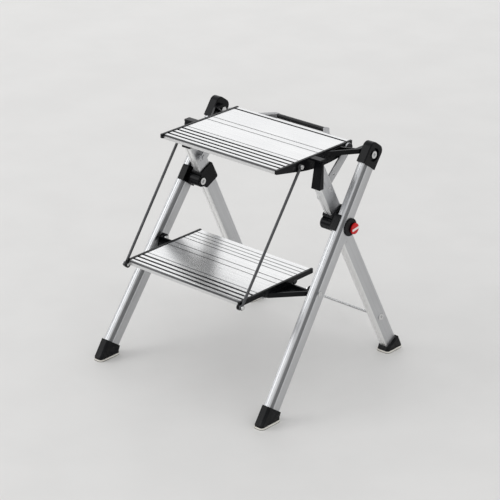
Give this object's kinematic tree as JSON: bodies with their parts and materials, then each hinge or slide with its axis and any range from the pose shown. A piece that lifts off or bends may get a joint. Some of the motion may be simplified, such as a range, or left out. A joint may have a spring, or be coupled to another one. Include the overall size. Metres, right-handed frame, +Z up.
{
  "type": "folding step stool",
  "caption": "Folding aluminium step stool with two ribbed treads, crossed legs, tie rods, stays, carry handle and a push-button lock.",
  "frame": {"origin": "centre of the footprint, on the floor", "axes": "+Z up, -Y towards the lower tread, +X towards the side with the lock button"},
  "size_m": [0.4404, 0.4484, 0.4615],
  "materials": {
    "aluminium_tube": "satin anodised",
    "aluminium_tread": "ribbed, satin",
    "black_moulding": "fine grain",
    "black_rod": "satin black",
    "bright_steel": "zinc plated",
    "nylon": "natural",
    "red_button": "gloss",
    "pale_sole": "matt"
  },
  "bodies": {
    "rear_frame": {"cap_rivets": "bright_steel", "cross_rod": "bright_steel", "cross_rod_washers": "bright_steel", "hub_bushes": "nylon", "hub_sleeve_left": "black_moulding", "hub_sleeve_right": "black_moulding", "rear_foot_left": "black_moulding", "rear_foot_right": "black_moulding", "rear_leg_cap_left": "black_moulding", "rear_leg_cap_right": "black_moulding", "rear_leg_left": "aluminium_tube", "rear_leg_right": "aluminium_tube", "rear_sole_left": "pale_sole", "rear_sole_right": "pale_sole", "stay_foot_pins": "bright_steel"},
    "front_frame": {"front_foot_left": "black_moulding", "front_foot_right": "black_moulding", "front_leg_left": "aluminium_tube", "front_leg_right": "aluminium_tube", "front_sole_left": "pale_sole", "front_sole_right": "pale_sole", "leg_cap_left": "black_moulding", "leg_cap_right": "black_moulding", "lock_spring": "bright_steel", "lower_hinge_bolts": "bright_steel", "lower_hinge_nuts": "bright_steel", "lower_hinge_washers": "nylon", "pivot_bolts": "bright_steel", "pivot_plate_left": "black_moulding", "pivot_plate_right": "black_moulding", "plate_rivets": "bright_steel", "top_hinge_bolts": "bright_steel", "top_hinge_nuts": "bright_steel"},
    "top_step": {"handle_bracket_left": "aluminium_tube", "handle_bracket_right": "aluminium_tube", "handle_core": "bright_steel", "handle_grip": "black_moulding", "handle_screws": "bright_steel", "stay_top_pins": "bright_steel", "top_end_plate_left": "black_moulding", "top_end_plate_right": "black_moulding", "top_rod_pins": "bright_steel", "top_tread": "aluminium_tread", "top_tread_screws": "bright_steel"},
    "lower_step": {"lower_end_plate_left": "black_moulding", "lower_end_plate_right": "black_moulding", "lower_rod_pins": "bright_steel", "lower_tread": "aluminium_tread", "lower_tread_screws": "bright_steel"},
    "stay_left": {"stay_left": "aluminium_tube"},
    "stay_right": {"stay_right": "aluminium_tube"},
    "tie_rod_left": {"tie_rod_left": "black_rod"},
    "tie_rod_right": {"tie_rod_right": "black_rod"},
    "lock_button": {"lock_button": "red_button", "lock_pin": "bright_steel"}
  },
  "joints": [
    {"name": "fold", "type": "hinge", "parent": "front_frame", "child": "rear_frame", "pos_m": [0, 0.02268, 0.31733], "axis": [-1, 0, 0], "range_deg": [0, 56]},
    {"name": "top_step_hinge", "type": "hinge", "parent": "front_frame", "child": "top_step", "pos_m": [0, 0.10804, 0.437], "axis": [-1, 0, 0], "range_deg": [0, 118]},
    {"name": "lower_step_hinge", "type": "hinge", "parent": "front_frame", "child": "lower_step", "pos_m": [0, -0.05245, 0.212], "axis": [-1, 0, 0], "range_deg": [0, 118]},
    {"name": "tie_rod_left_pivot", "type": "hinge", "parent": "top_step", "child": "tie_rod_left", "pos_m": [-0.1473, -0.03796, 0.441], "axis": [1, 0, 0], "range_deg": [0, 118]},
    {"name": "stay_left_pivot", "type": "hinge", "parent": "rear_frame", "child": "stay_left", "pos_m": [-0.1477, 0.01943, 0.36942], "axis": [1, 0, 0], "range_deg": [0, 77]},
    {"name": "tie_rod_right_pivot", "type": "hinge", "parent": "top_step", "child": "tie_rod_right", "pos_m": [0.1473, -0.03796, 0.441], "axis": [1, 0, 0], "range_deg": [0, 118]},
    {"name": "stay_right_pivot", "type": "hinge", "parent": "rear_frame", "child": "stay_right", "pos_m": [0.1477, 0.01943, 0.36942], "axis": [1, 0, 0], "range_deg": [0, 77]},
    {"name": "lock_press", "type": "slide", "parent": "front_frame", "child": "lock_button", "axis": [-1, 0, 0], "range_m": [0, 0.003], "stiffness_N_per_m": 500, "deforming": ["lock_spring"]}
  ],
  "couplings": [
    {"joint": "top_step_hinge", "follows": "fold", "ratio": 2.1},
    {"joint": "lower_step_hinge", "follows": "fold", "ratio": 2.1},
    {"joint": "tie_rod_left_pivot", "follows": "fold", "ratio": 2.1},
    {"joint": "tie_rod_right_pivot", "follows": "fold", "ratio": 2.1},
    {"joint": "stay_left_pivot", "follows": "fold", "ratio": 1.365},
    {"joint": "stay_right_pivot", "follows": "fold", "ratio": 1.365}
  ]
}
